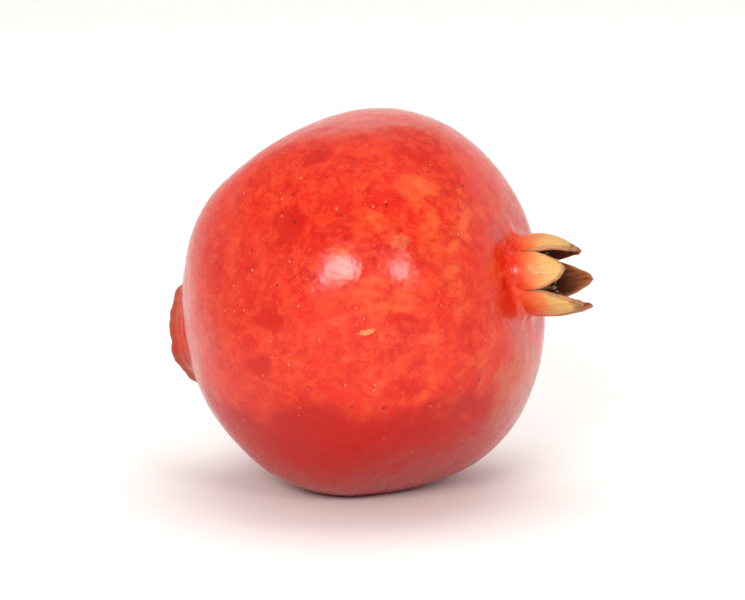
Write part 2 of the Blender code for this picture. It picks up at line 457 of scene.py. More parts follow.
def fibres_group():
    """Fine dry streaks that run along the fruit's axis."""
    tree, given, result = new_tree(
        "Fibres",
        "ShaderNodeTree",
        {
            "Scale": 900.0,
            "Stretch": 0.12,
            "Contrast": 0.25,
        },
        {"Mask": "Float"},
    )
    inputs = {
        "Vector": object_place(tree),
        "Rotation": tuple(fruit_frame().to_3x3().inverted().to_euler()),
    }
    in_fruit = add_node(tree, "ShaderNodeMapping", inputs, vector_type="POINT").outputs["Vector"]
    stretch = vector_of(tree, X=1.0, Y=1.0, Z=given.outputs["Stretch"])
    drawn = vector_out(tree, "MULTIPLY", in_fruit, stretch)
    noise = noise_out(tree, drawn, given.outputs["Scale"], 3.0, 0.65)
    low = math_out(tree, "SUBTRACT", 0.5, given.outputs["Contrast"])
    high = math_out(tree, "ADD", 0.5, given.outputs["Contrast"])
    tree.links.new(eased(tree, noise, low, high), result.inputs["Mask"])
    return tree


def shared_group(tree, name, make, **inputs):
    """A node with the named shader group, which is made the first time that it's asked for."""
    group = bpy.data.node_groups.get(name) or make()
    return add_node(tree, "ShaderNodeGroup", inputs, node_tree=group)


def clouds(tree, place, **inputs):
    """The mask of the shared mottling, with these inputs changed from its defaults."""
    node = shared_group(tree, "Mottling", mottling_group, Vector=place, **inputs)
    return node.outputs["Mask"]


def dots(tree, place, scale, size, share):
    """The node of scattered dots, with its outputs Mask and Ring."""
    return shared_group(
        tree, "Dots", dots_group, Vector=place, Scale=scale, Size=size, Share=share
    )


def fibres(tree, scale, stretch, contrast):
    """The mask of the shared fibres."""
    inputs = {"Scale": scale, "Stretch": stretch, "Contrast": contrast}
    return shared_group(tree, "Fibres", fibres_group, **inputs).outputs["Mask"]


def new_material(name):
    """A material, its tree and its shader."""
    made = bpy.data.materials.new(name)
    made.use_nodes = True
    return made, made.node_tree, made.node_tree.nodes["Principled BSDF"]


def attribute_out(tree, name):
    return add_node(tree, "ShaderNodeAttribute", attribute_name=name).outputs["Fac"]


def object_place(tree):
    """The place of the surface in its object's own frame, so that patterns move with it."""
    return add_node(tree, "ShaderNodeTexCoord").outputs["Object"]


def raise_relief(tree, shader, height, strength, distance):
    """Gives the shader a fine relief, this deep where height goes from 0 to 1."""
    inputs = {"Height": height, "Strength": strength, "Distance": distance}
    bump = add_node(tree, "ShaderNodeBump", inputs)
    tree.links.new(bump.outputs["Normal"], shader.inputs["Normal"])


def patch_mask(tree, place, polar, around, size, turn=0.0, ragged=0.5, scale=160.0):
    """1 in an oval patch of the rind with a ragged edge, 0 outside it."""
    inputs = {
        "Vector": place,
        "Location": tuple(on_body(polar, around)),
        "Rotation": (0.0, turn, 0.0),
        "Scale": size,
    }
    local = add_node(tree, "ShaderNodeMapping", inputs, vector_type="TEXTURE").outputs["Vector"]
    uneven = math_out(tree, "SUBTRACT", noise_out(tree, place, scale, 4.0), 0.5)
    uneven = product(tree, uneven, ragged * 4)
    return eased(tree, math_out(tree, "ADD", vector_out(tree, "LENGTH", local), uneven), 1.1, 0.7)


# The fruit's own frame: its origin is the body's centre, +Z points to the crown, +X to the top side
# and +Y to the front.


def fruit_frame():
    """The place and turn of the fruit's own frame, as the fruit lies on its side."""
    on_its_side = Matrix(((0, 0, 1), (0, -1, 0), (1, 0, 0))).to_4x4()
    turn = Matrix.Rotation(YAW, 4, "Z") @ Matrix.Rotation(-PITCH, 4, "Y")
    return Matrix.Translation((0, 0, REST_DEPTH)) @ turn @ on_its_side


def direction_of(polar, around):
    """Unit directions, from the angle off the crown axis and the angle round it."""
    return turned(around, np.sin(polar), np.cos(polar))


def turned(around, radius, height):
    """Points at these angles, distances from the axis and heights along it."""
    around, radius, height = np.broadcast_arrays(around, radius, height)
    return np.stack([radius * np.cos(around), radius * np.sin(around), height], axis=-1)


def on_body(polar, around):
    """The place in the scene of a spot on the rind."""
    spot = body_surface(direction_of(math.radians(polar), np.float64(math.radians(around))))
    return fruit_frame() @ Vector(spot)


def flattened_sides():
    """(unit normal, distance) of each flatter side, the one that lies underneath included."""
    sides = [
        (direction_of(math.radians(polar), np.float64(math.radians(around))), distance)
        for polar, around, distance in SIDES
    ]
    down = fruit_frame().to_3x3().inverted() @ Vector((0, 0, -1))
    return [*sides, (np.array(down), REST_SIDE)]


def body_surface(directions, lift=0.0):
    """Points on the rind's body: an ellipsoid with softly flattened sides, sunk a little round the
    crown, and raised by lift."""
    across = np.hypot(directions[..., 0], directions[..., 1]) / BODY_RADIUS
    along = np.abs(directions[..., 2]) / BODY_HALF_LENGTH
    nearness = (across**SQUARENESS + along**SQUARENESS) ** (CORNER_SHARPNESS / SQUARENESS)
    for normal, distance in flattened_sides():
        facing = np.maximum(directions @ normal, 0.0)
        nearness = nearness + (facing / distance) ** CORNER_SHARPNESS
    off_axis = np.hypot(directions[..., 0], directions[..., 1])
    off_axis = np.where(directions[..., 2] > 0, off_axis, np.inf)
    sunk = CROWN_SINK * np.exp(-((off_axis / SINK_WIDTH) ** 2))
    radius = nearness ** (-1 / CORNER_SHARPNESS) + lift - sunk
    return directions * radius[..., None]


def column_angles(crowded):
    """The angle of each column round the axis, and its place across its sepal. The columns are
    even on the body (crowded 0) and gather at the notches on the crown (crowded 1)."""
    step = 2 / COLUMNS_PER_SEPAL
    even = np.arange(COLUMNS_PER_SEPAL) * step - 1
    across = even + crowded * (np.sin(even * math.pi / 2) - even)
    half = math.pi / SEPAL_COUNT
    centres = FIRST_SEPAL + 2 * half * np.arange(SEPAL_COUNT)
    return (centres[:, None] + half * across).ravel(), np.tile(across, SEPAL_COUNT)


def drooped(points):
    """The crown bends a little downwards from the line of the body's axis."""
    above = np.maximum(points[..., 2] - DROOP_START, 0.0)
    bent = points.copy()
    bent[..., 0] -= DROOP * above**2 / (above + DROOP_EASE)
    return bent


def wavering(around, waves):
    """A smooth uneven run round the axis, from (number of waves, height, start) triples."""
    return sum(height * np.cos(count * around + start) for count, height, start in waves)


def smooth_path(points, count):
    """count points along a smooth curve through these points (Catmull-Rom)."""
    points = np.array(points)
    ends = np.vstack([2 * points[0] - points[1], points, 2 * points[-1] - points[-2]])
    places = np.linspace(0, len(points) - 1, count)
    index = np.minimum(places.astype(int), len(points) - 2)
    t = (places - index)[:, None]
    a, b, c, d = (ends[index + k] for k in range(4))
    bend, twist = 2 * a - 5 * b + 4 * c - d, 3 * b - a - 3 * c + d
    return (2 * b + (c - a) * t + bend * t**2 + twist * t**3) / 2


class Skin:
    """The rings of a piece's skin from one end to the other, with marks of what each point is."""

    def __init__(self, *marks):
        self.rings = []
        self.marks = {name: [] for name in marks}

    def add(self, ring, **marks):
        self.rings.append(ring)
        for name, values in self.marks.items():
            values.append(np.broadcast_to(marks.get(name, 0.0), len(ring)))


def add_boss_and_body(skin):
    """The boss with its uneven lip, then the body up to the start of the neck."""
    around, _ = column_angles(0.0)
    bulge = wavering(around, ((2, 0.035, 0.6), (3, 0.03, 2.1), (5, 0.022, 4.0), (9, 0.012, 1.3)))
    lumps = wavering(around, ((1, 0.00035, 3.4), (3, 0.0002, 0.4), (7, 0.00016, 5.0)))
    ripple = wavering(around, ((13, 0.00008, 2.0), (21, 0.00006, 0.7)))
    top = max(height for _, height in BOSS_PROFILE)
    for distance, height in smooth_path(BOSS_PROFILE, BOSS_ROWS):
        raised = max(height, 0.0) / top
        wide = np.clip((distance - BOSS_PROFILE[2][0]) / SOCKET_MARGIN, 0, 1)
        reach = distance * (1 + bulge * wide * min(1.0, raised * 2))
        polar = math.pi - np.arcsin(reach / BODY_HALF_LENGTH)
        lift = max(height, 0.0) + (lumps + ripple) * raised * wide
        skin.add(body_surface(direction_of(polar, around), lift), boss=raised, body=1 - raised)
    last = math.pi - math.asin(BOSS_PROFILE[-1][0] / BODY_HALF_LENGTH)
    for polar in np.linspace(last, NECK_START, BODY_ROWS + 1)[1:]:
        skin.add(body_surface(direction_of(polar, around)), body=1.0)


def valley(across, depth):
    """How far a point is drawn in by the fold that runs down from each notch."""
    return depth * np.exp(-(((1 - np.abs(across)) / VALLEY_WIDTH) ** 2))


def crown_walls():
    """The crown's outer rings, rounded rim and inner rings, as (ring, marks) pairs."""
    around, across = column_angles(1.0)
    length, roundness, lean, bow, twist, dryness = (
        np.repeat(column, COLUMNS_PER_SEPAL) for column in np.array(SEPALS).T
    )
    ragged = wavering(around, ((17, 0.012, 0.3), (29, 0.012, 2.2), (47, 0.008, 1.1)))
    rim = (1 - np.abs(across) ** roundness) ** SEPAL_SHOULDER
    rim = NOTCH_RISE + length * rim * (1 + ragged)
    spare = (1 - np.abs(across)) * math.pi / SEPAL_COUNT * TUBE_RADIUS
    rounding = np.minimum(WALL / 3, WALL / 12 + spare * 0.7)
    outwards = turned(around, 1.0, 0.0)

    def wall_middle(height):
        share = np.clip(height / length, 0, 1.1)
        radius = TUBE_RADIUS + lean * share**2 + bow * np.sin(math.pi * np.minimum(share, 1))
        crinkle = wavering(around, ((23, 0.00006, 0.9), (31, 0.00005, 2.4)))
        radius = radius + crinkle * share
        angle = around + np.radians(twist) * share**2
        return turned(angle, radius, NOTCH_HEIGHT + height)

    def half_wall(height):
        share = np.clip(height / length, 0, 1.1)
        return WALL / 2 * (1 - TIP_THINNING * share) * (1 - SIDE_THINNING * np.abs(across) ** 3)

    top = rim - rounding
    heights = [-TUBE_START + s * (top + TUBE_START) for s in np.linspace(0, 1, SEPAL_ROWS)]
    walls = []
    for height in heights:
        fold = valley(across, VALLEY_DEPTH) * np.clip(1 - height / VALLEY_TOP, 0, 1)
        ring = wall_middle(height) + outwards * (half_wall(height) - fold)[:, None]
        near = np.exp(-(((rim - height) / OUTER_EDGE) ** 2))
        walls.append((ring, {"crown": crown_share(height, length, dryness), "edge": near}))
    edge = wall_middle(top)
    along_rim = np.roll(edge, -1, axis=0) - np.roll(edge, 1, axis=0)
    beyond = np.cross(outwards, along_rim)
    beyond /= np.linalg.norm(beyond, axis=-1, keepdims=True)
    for turn in np.linspace(math.pi / 2, -math.pi / 2, RIM_ROWS + 2)[1:-1]:
        reach = beyond * (rounding * math.cos(turn))[:, None]
        ring = edge + reach + outwards * (half_wall(top) * math.sin(turn))[:, None]
        inner = 0.5 - math.sin(turn) / 2
        marks = {"crown": crown_share(rim, length, dryness), "edge": 1.0, "inside": inner}
        walls.append((ring, marks))
    for height in reversed(heights):
        ring = wall_middle(height) - outwards * half_wall(height)[:, None]
        near = np.exp(-(((rim - height) / INNER_EDGE) ** 2))
        marks = {"crown": crown_share(height, length, dryness), "edge": near, "inside": 1.0}
        walls.append((ring, marks))
    return walls


def crown_share(height, length, dryness):
    """The crown mark: that of the notches, then up to 1 at the tip of a fully dried sepal."""
    return NOTCH_MARK + (1 - NOTCH_MARK) * np.clip(height / length, -0.1, 1) * dryness


def add_neck_and_crown(skin):
    """The neck that sweeps up from the body, then the crown's walls."""
    _, across = column_angles(1.0)
    walls = crown_walls()
    start, before = skin.rings[-1], skin.rings[-2]
    end, after = walls[0][0], walls[1][0]
    reach = np.linalg.norm(end - start, axis=-1, keepdims=True) / 3
    leave = (start - before) / np.linalg.norm(start - before, axis=-1, keepdims=True) * reach
    arrive = (after - end) / np.linalg.norm(after - end, axis=-1, keepdims=True) * reach
    controls = (start, start + leave, end - arrive, end)
    inwards = -start * (1, 1, 0)
    inwards /= np.linalg.norm(inwards, axis=-1, keepdims=True)
    for s in np.linspace(0, 1, NECK_ROWS + 2)[1:-1]:
        weights = ((1 - s) ** 3, 3 * s * (1 - s) ** 2, 3 * s**2 * (1 - s), s**3)
        ring = sum(weight * control for weight, control in zip(weights, controls))
        fold = valley(across, VALLEY_DEPTH * 0.5) * s * (1 - s)
        skin.add(ring + inwards * fold[:, None], crown=NECK_MARK * s, body=1 - s)
    for ring, marks in walls:
        skin.add(drooped(ring), **marks)


def add_cup(skin):
    """The inside of the tube, down to the cup's floor."""
    around, _ = column_angles(1.0)
    floor = NOTCH_HEIGHT - CUP_DEPTH
    radius = TUBE_RADIUS - WALL / 2
    profile = (
        (radius, NOTCH_HEIGHT - TUBE_START - 0.0006),
        (radius, floor + 0.0040),
        (CUP_FLOOR_RADIUS + 0.0013, floor + 0.0016),
        (CUP_FLOOR_RADIUS * 0.9, floor + 0.0001),
        (CUP_FLOOR_RADIUS * 0.5, floor),
        (CUP_FLOOR_RADIUS * 0.1, floor + 0.0002),
    )
    lumps = wavering(around, ((6, 0.00012, 1.0), (11, 0.00008, 4.0)))
    for distance, height in smooth_path(profile, CUP_ROWS):
        uneven = lumps * min(1.0, distance / radius) * 0.8
        ring = drooped(turned(around, distance + uneven, height))
        skin.add(ring, inside=1.0, crown=NOTCH_MARK)


def skin_mesh(name, skin):
    """A closed mesh through the skin's rings, in its place in the scene, with its marks."""
    turn = np.array(fruit_frame())
    bm = bmesh.new()
    layers = {mark: bm.verts.layers.float.new(mark) for mark in skin.marks}
    grid = []
    for row, ring in enumerate(skin.rings):
        verts = [bm.verts.new(point) for point in ring @ turn[:3, :3].T + turn[:3, 3]]
        for mark, layer in layers.items():
            for vert, value in zip(verts, skin.marks[mark][row]):
                vert[layer] = value
        grid.append(verts)
    for low, high in zip(grid, grid[1:]):
        for i in range(len(low)):
            bm.faces.new((low[i - 1], low[i], high[i], high[i - 1]))
    for ring, flip in ((grid[0], True), (grid[-1], False)):
        middle = bm.verts.new(sum((vert.co for vert in ring), Vector()) / len(ring))
        for layer in layers.values():
            middle[layer] = ring[0][layer]
        for i in range(len(ring)):
            pair = (ring[i], ring[i - 1]) if flip else (ring[i - 1], ring[i])
            bm.faces.new((*pair, middle))
    bmesh.ops.recalc_face_normals(bm, faces=bm.faces)
    mesh = bpy.data.meshes.new(name)
    bm.to_mesh(mesh)
    bm.free()
    mesh.shade_smooth()
    return mesh


def link_object(name, mesh):
    made = bpy.data.objects.new(name, mesh)
    bpy.context.scene.collection.objects.link(made)
    return made


def run_tree(obj, tree, values):
    """Gives obj the plain mesh that a Geometry Nodes tree makes of it."""
    modifier = obj.modifiers.new(tree.name, "NODES")
    modifier.node_group = tree
    for item in tree.interface.items_tree:
        if item.in_out == "INPUT" and item.name in values:
            modifier[item.identifier] = values[item.name]
    depsgraph = bpy.context.evaluated_depsgraph_get()
    made = bpy.data.meshes.new_from_object(
        obj.evaluated_get(depsgraph), preserve_all_data_layers=True, depsgraph=depsgraph
    )
    if not made.polygons:
        raise RuntimeError(f"{tree.name} made no faces")
    obj.modifiers.clear()
    old = obj.data
    obj.data = made
    made.name = old.name
    bpy.data.meshes.remove(old)
    made.shade_smooth()


def geometry_noise(tree, scale, detail, seed):
    """Noise at each point, between -0.5 and 0.5."""
    place = tree.nodes.new("GeometryNodeInputPosition").outputs[0]
    inputs = {"Vector": place, "Scale": scale, "Detail": detail, "W": seed}
    noise = add_node(tree, "ShaderNodeTexNoise", inputs, noise_dimensions="4D")
    return math_out(tree, "SUBTRACT", noise.outputs[0], 0.5)


def moved(tree, geometry, **inputs):
    """Geometry with its points at another Position, or moved by an Offset."""
    inputs["Geometry"] = geometry
    return add_node(tree, "GeometryNodeSetPosition", inputs).outputs["Geometry"]


def finish_tree(tree, geometry, material, result):
    """Ends a Geometry Nodes tree in plain geometry with its material."""
    real = add_node(tree, "GeometryNodeRealizeInstances", {"Geometry": geometry})
    inputs = {"Geometry": real.outputs["Geometry"], "Material": material}
    coloured = add_node(tree, "GeometryNodeSetMaterial", inputs)
    tree.links.new(coloured.outputs["Geometry"], result.inputs["Geometry"])


def rind_relief_tree():
    """Raises soft swellings and small puckers on the rind, then presses its flat spot flat."""
    tree, given, result = new_tree(
        "Rind relief",
        "GeometryNodeTree",
        {
            "Geometry": "Geometry",
            "Swelling": 0.0004,
            "Swelling scale": 60.0,
            "Pucker": 0.0001,
            "Pucker scale": 330.0,
            "Seed": 0.0,
            "Flat edge": REST_EASE,
            "Material": "Material",
        },
        {"Geometry": "Geometry"},
    )
    geometry, swelling, swelling_scale, pucker, pucker_scale, seed, edge, material = list(
        given.outputs
    )[:8]
    body, boss = (
        add_node(tree, "GeometryNodeInputNamedAttribute", {"Name": name}, data_type="FLOAT")
        for name in ("body", "boss")
    )
    swell = geometry_noise(tree, swelling_scale, 1.0, seed)
    swell = product(tree, swell, swelling, body.outputs["Attribute"])
    bumpy = math_out(tree, "MULTIPLY_ADD", boss.outputs["Attribute"], BOSS_BUMPINESS, 1.0)
    puckers = product(tree, geometry_noise(tree, pucker_scale, 2.0, seed), pucker, bumpy)
    lift = product(tree, math_out(tree, "ADD", swell, puckers), 2.0)
    normal = tree.nodes.new("GeometryNodeInputNormal").outputs[0]
    raised = moved(tree, geometry, Offset=vector_out(tree, "SCALE", normal, scale=lift))

    place = tree.nodes.new("GeometryNodeInputPosition").outputs[0]
    parts = add_node(tree, "ShaderNodeSeparateXYZ", {"Vector": place}).outputs
    inside = math_out(tree, "MAXIMUM", math_out(tree, "ADD", parts["Z"], edge), 0.0)
    curve = product(tree, math_out(tree, "DIVIDE", product(tree, inside, inside), edge), 0.25)
    above = math_out(tree, "GREATER_THAN", parts["Z"], edge)
    inputs = {"Switch": above, "False": curve, "True": parts["Z"]}
    pick = add_node(tree, "GeometryNodeSwitch", inputs, input_type="FLOAT").outputs["Output"]
    pressed = moved(tree, raised, Position=vector_of(tree, X=parts["X"], Y=parts["Y"], Z=pick))
    finish_tree(tree, pressed, material, result)
    return tree


class Paint:
    """The colour of a material, built up in layers."""

    def __init__(self, tree, colour):
        self.tree = tree
        self.colour = colour

    def lay(self, share, colour, *masks):
        """Lays this share of a colour where the masks are 1."""
        factor = product(self.tree, *masks, share) if masks else share
        self.colour = blended(self.tree, factor, self.colour, colour)


def paint_mottling(paint, place, settings):
    """Broad dark and light clouds, then finer ones, and a deeper red low down as painted shade."""
    tree = paint.tree
    for name, share, scale, cover, softness, detail, warp in RIND_CLOUDS:
        inputs = {"Scale": scale, "Cover": cover, "Softness": softness}
        cloud = clouds(tree, place, Detail=detail, Warp=warp, **inputs)
        paint.lay(share, getattr(settings, name), cloud)
    # Painted shade: below a ragged height the rind is laid over with a deeper red.
    shift = product(tree, noise_out(tree, place, 48.0, 5.0), SHADE_RAGGEDNESS)
    height = math_out(tree, "ADD", height_of(tree, place), shift)
    paint.lay(0.85, PAINTED_SHADE_RED, eased(tree, height, SHADE_TOP, SHADE_TOP - SHADE_EASE))


def paint_marks(paint, place, settings):
    """Pale breaks round the crown, stains and russet. Gives the mask of the small dry scar."""
    tree = paint.tree
    near_crown = patch_mask(tree, place, 48, 82, (0.026, 0.03, 0.03), ragged=0.4)
    breaks = clouds(tree, place, Scale=120.0, Cover=0.47, Softness=0.10)
    paint.lay(0.55, (0.74, 0.15, 0.04), breaks, near_crown, fibres(tree, 420.0, 0.35, 0.16))
    spot = patch_mask(tree, place, 54, 42, (0.005, 0.005, 0.004), scale=260)
    paint.lay(0.2, (0.76, 0.20, 0.06), spot)
    for polar, around, size in STAINS:
        stain = patch_mask(tree, place, polar, around, (size,) * 3, ragged=0.7, scale=240)
        paint.lay(0.6, settings.deep_red, stain)

    size = (0.0019, 0.0034, 0.0007)
    scar = patch_mask(tree, place, 71, 91, size, turn=-0.2, scale=1100)
    paint.lay(0.55, (0.82, 0.36, 0.11), scar)
    rubbed = patch_mask(tree, place, 58, 64, (0.0022, 0.006, 0.0022), scale=700)
    paint.lay(0.25, (0.50, 0.26, 0.12), rubbed)
    dull = patch_mask(tree, place, 36, 165, (0.014, 0.014, 0.012))
    broken = clouds(tree, place, Scale=420.0, Cover=0.55, Softness=0.25, Detail=6.0)
    paint.lay(0.6, (0.44, 0.15, 0.07), dull, broken)
    return scar


def paint_specks(paint, place, settings):
    """Fine red flecks, pale breathing spots and dark specks. Gives the masks of the last two."""
    tree = paint.tree
    pale = dots(tree, place, 460.0, 0.19, 0.35).outputs
    flecks = dots(tree, place, 620.0, 0.34, 0.35).outputs["Mask"]
    dark = dots(tree, place, 230.0, 0.13, 0.45).outputs["Mask"]
    where = clouds(tree, place, Scale=90.0, Cover=0.45, Softness=0.12)
    paint.lay(0.6, settings.deep_red, flecks, where)
    paint.lay(0.65, (0.80, 0.26, 0.13), pale["Mask"])
    paint.lay(0.35, settings.deep_red, pale["Ring"])
    paint.lay(0.8, (0.13, 0.012, 0.008), dark)
    return pale["Mask"], dark


def paint_crown(paint, place, marks, fine, settings):
    """Red, orange and tan, then dry brown tips, fleshy edges and the brown inside, with painted
    shade in the slits and deep in the cup.
    """
    tree = paint.tree
    crown, inside, edge = marks["crown"], marks["inside"], marks["edge"]
    uneven = clouds(tree, place, Scale=300.0, Cover=0.5, Softness=0.3)
    uneven = product(tree, math_out(tree, "SUBTRACT", uneven, 0.5), 0.14)
    along = math_out(tree, "ADD", crown, uneven)
    sepal = Paint(tree, settings.tan)
    sepal.lay(0.35, (0.60, 0.30, 0.09), fine)
    patches = clouds(tree, place, Scale=420.0, Cover=0.4, Softness=0.15)
    sepal.lay(0.4, (0.55, 0.36, 0.10), patches)
    sepal.lay(0.8, (0.12, 0.045, 0.02), dots(tree, place, 900.0, 0.22, 0.22).outputs["Mask"])
    sepal.lay(eased(tree, along, 0.84, 1.0), (0.17, 0.065, 0.026))
    paint.lay(eased(tree, along, 0.16, 0.38), (0.66, 0.11, 0.03))
    paint.lay(eased(tree, along, 0.34, 0.70), sepal.colour)

    on_crown = eased(tree, crown, 0.28, 0.4)
    flesh = blended(tree, fine, (0.52, 0.25, 0.13), (0.33, 0.13, 0.06))
    paint.lay(0.75, flesh, eased(tree, edge, 0.45, 0.98), on_crown)
    # Painted shade: the edge faces down in the slits between the sepals are darkened.
    painted_slit_shade = product(tree, eased(tree, edge, 0.4, 1.0), eased(tree, crown, 0.5, 0.34))
    paint.lay(0.6, (0.12, 0.03, 0.012), painted_slit_shade, on_crown)
    # The inside is brown; painted shade darkens it further towards the cup's floor, away from the
    # tips.
    inside_brown_and_shade = blended(tree, fine, (0.22, 0.055, 0.018), (0.40, 0.14, 0.045))
    inside_brown_and_shade = blended(tree, eased(tree, crown, 0.45, 0.95), (0.10, 0.026, 0.012), inside_brown_and_shade)
    paint.lay(eased(tree, inside, 0.4, 0.95), inside_brown_and_shade)


def paint_boss(paint, place, boss):
    """Duller and browner, with a pale shoulder and a corky lip."""
    tree = paint.tree

    def cloud(scale, cover, softness, detail=4.0):
        inputs = {"Scale": scale, "Cover": cover, "Softness": softness, "Detail": detail}
        return clouds(tree, place, **inputs)

    corky = blended(tree, cloud(240, 0.5, 0.12), (0.46, 0.035, 0.015), (0.36, 0.085, 0.035))
    paint.lay(0.65, corky, eased(tree, boss, 0.1, 0.6))
    shoulder = product(tree, eased(tree, boss, 0.42, 0.5), eased(tree, boss, 0.62, 0.54))
    paint.lay(0.4, (0.46, 0.18, 0.08), shoulder, cloud(350, 0.6, 0.15))
    rough = cloud(450, 0.5, 0.25, 6.0)
    rough = blended(tree, rough, (0.26, 0.085, 0.04), (0.15, 0.05, 0.025))
    paint.lay(0.85, rough, eased(tree, boss, 0.7, 1.0), cloud(190, 0.52, 0.10, 6.0))


def rind_material(settings):
    """Mottled red rind that turns tan and then brown along the crown's sepals."""
    made, tree, shader = new_material("rind")
    place = object_place(tree)
    marks = {name: attribute_out(tree, name) for name in ("crown", "inside", "edge", "boss")}
    fine = fibres(tree, 1500.0, 0.1, 0.22)
    paint = Paint(tree, settings.red)
    paint_mottling(paint, place, settings)
    scar = paint_marks(paint, place, settings)
    pale_dots, dark_dots = paint_specks(paint, place, settings)
    paint_crown(paint, place, marks, fine, settings)
    paint_boss(paint, place, marks["boss"])
    tree.links.new(paint.colour, shader.inputs["Base Color"])

    # Glossy rind, dry sepals and a dull inside.
    dry_crown = eased(tree, marks["crown"], 0.3, 0.6)
    dry_boss = eased(tree, marks["boss"], 0.3, 0.9)
    dryness = math_out(tree, "MAXIMUM", dry_crown, dry_boss)
    gloss = clouds(tree, place, Scale=200.0, Cover=0.5, Softness=0.3)
    gloss = eased(tree, gloss, 0.0, 1.0, *GLOSSY_ROUGHNESS)
    rough = between(tree, dryness, gloss, DRY_ROUGHNESS)
    tree.links.new(rough, shader.inputs["Roughness"])
    shader.inputs["Coat Weight"].default_value = 0.2
    shader.inputs["Coat Roughness"].default_value = 0.10
    shader.inputs["IOR"].default_value = 1.42

    # Fine relief: pores like orange peel, raised breathing spots, fibres on the dry parts.
    peel = noise_out(tree, place, 640.0, 3.0)
    waves = noise_out(tree, place, 190.0, 2.0)
    relief = math_out(tree, "ADD", product(tree, peel, 0.6), product(tree, waves, 2.0))
    for mask, height in ((pale_dots, 0.25), (dark_dots, -0.4), (scar, -0.4)):
        relief = math_out(tree, "MULTIPLY_ADD", mask, height, relief)
    dry_relief = math_out(tree, "ADD", product(tree, fine, 0.9), product(tree, peel, 0.8))
    raise_relief(tree, shader, between(tree, dryness, relief, dry_relief), 1.0, 0.00012)
    return made


# The stamens


def stamen_tree():
    """A tuft of stamens: wavy filaments with dried anthers, scattered on the cup's floor."""
    tree, given, result = new_tree(
        "Stamen tuft",
        "GeometryNodeTree",
        {
            "Geometry": "Geometry",
            "Count": 150,
            "Spread": 0.006,
            "Length": 0.0065,
            "Thickness": 0.0001,
            "Wave": 0.0009,
            "Seed": 0,
            "Material": "Material",
        },
        {"Geometry": "Geometry"},
    )
    _, count, spread, length, thickness, wave, first_seed, material = list(given.outputs)[:8]

    def random(low, high, salt):
        seed = math_out(tree, "ADD", first_seed, float(salt))
        node = add_node(tree, "FunctionNodeRandomValue", {"Seed": seed}, data_type="FLOAT")
        least, most = [socket for socket in node.inputs if socket.enabled][:2]
        least.default_value, most.default_value = low, high
        return [socket for socket in node.outputs if socket.enabled][0]

    def along_length(x, z):
        return vector_of(tree, X=product(tree, length, x), Z=product(tree, length, z))

    def marked_tip(geometry, value):
        inputs = {"Geometry": geometry, "Name": "tip", "Value": value}
        kind = "GeometryNodeStoreNamedAttribute"
        node = add_node(tree, kind, inputs, data_type="FLOAT", domain="POINT")
        return node.outputs["Geometry"]

    # Where each stamen stands: a sunflower pattern, thickest towards the wall.
    index = tree.nodes.new("GeometryNodeInputIndex").outputs[0]
    angle = product(tree, index, math.pi * (3 - math.sqrt(5)))
    reach = product(tree, math_out(tree, "POWER", random(0.02, 1.0, 1), 0.4), spread)
    spot = vector_of(
        tree,
        X=product(tree, math_out(tree, "COSINE", angle), reach),
        Y=product(tree, math_out(tree, "SINE", angle), reach),
    )
    points = add_node(tree, "GeometryNodePoints", {"Count": count, "Position": spot})

    # One stamen: a curved filament that thins towards its tip, with an anther.
    top = along_length(-0.22, 1.0)
    inputs = {
        "Resolution": 5,
        "Start": (0.0, 0.0, 0.0),
        "Middle": along_length(0.05, 0.55),
        "End": top,
    }
    line = add_node(tree, "GeometryNodeCurveQuadraticBezier", inputs).outputs["Curve"]
    progress = tree.nodes.new("GeometryNodeSplineParameter").outputs["Factor"]
    radius = eased(tree, progress, 0.0, 1.0, 1.5, 0.7)
    inputs = {"Curve": marked_tip(line, progress), "Radius": radius}
    thin = add_node(tree, "GeometryNodeSetCurveRadius", inputs).outputs["Curve"]
    inputs = {"Resolution": 4, "Radius": thickness}
    outline = add_node(tree, "GeometryNodeCurvePrimitiveCircle", inputs).outputs["Curve"]
    inputs = {"Curve": thin, "Profile Curve": outline, "Fill Caps": True}
    filament = add_node(tree, "GeometryNodeCurveToMesh", inputs).outputs["Mesh"]
    inputs = {"Radius": product(tree, thickness, 3.2), "Subdivisions": 1}
    inputs = {
        "Geometry": add_node(tree, "GeometryNodeMeshIcoSphere", inputs).outputs["Mesh"],
        "Translation": top,
        "Rotation": (0.0, -0.5, 0.3),
        "Scale": (0.7, 1.0, 1.7),
    }
    anther = add_node(tree, "GeometryNodeTransform", inputs).outputs["Geometry"]
    one = tree.nodes.new("GeometryNodeJoinGeometry")
    tree.links.new(marked_tip(anther, ANTHER_MARK), one.inputs[0])
    tree.links.new(filament, one.inputs[0])

    # Each stands at its own slant, and those near the wall lean in over the middle.
    slant = product(tree, math_out(tree, "DIVIDE", reach, spread), random(-0.25, 0.3, 2))
    around = math_out(tree, "ADD", angle, random(-0.9, 0.9, 4))
    turn = vector_of(tree, X=random(-0.3, 0.3, 3), Y=slant, Z=around)
    inputs = {
        "Points": points.outputs[0],
        "Instance": one.outputs[0],
        "Rotation": add_node(tree, "FunctionNodeEulerToRotation", {"Euler": turn}).outputs[0],
        "Scale": math_out(tree, "POWER", random(0.2, 1.0, 5), 0.7),
    }
    tuft = add_node(tree, "GeometryNodeInstanceOnPoints", inputs).outputs["Instances"]
    real = add_node(tree, "GeometryNodeRealizeInstances", {"Geometry": tuft})

    # Drying has made them wavy, more so the further they are from their foot.
    place = tree.nodes.new("GeometryNodeInputPosition").outputs[0]
    noise = add_node(
        tree, "ShaderNodeTexNoise", {"Vector": place, "Scale": 330.0, "Detail": 1.0}
    ).outputs["Color"]
    centred = vector_out(tree, "SUBTRACT", noise, (0.5, 0.5, 0.5))
    grow = math_out(tree, "DIVIDE", height_of(tree, place), length, clamp=True)
    offset = vector_out(tree, "SCALE", centred, scale=product(tree, grow, wave, 2.0))
    wavy = moved(tree, real.outputs["Geometry"], Offset=offset)
    finish_tree(tree, wavy, material, result)
    return tree


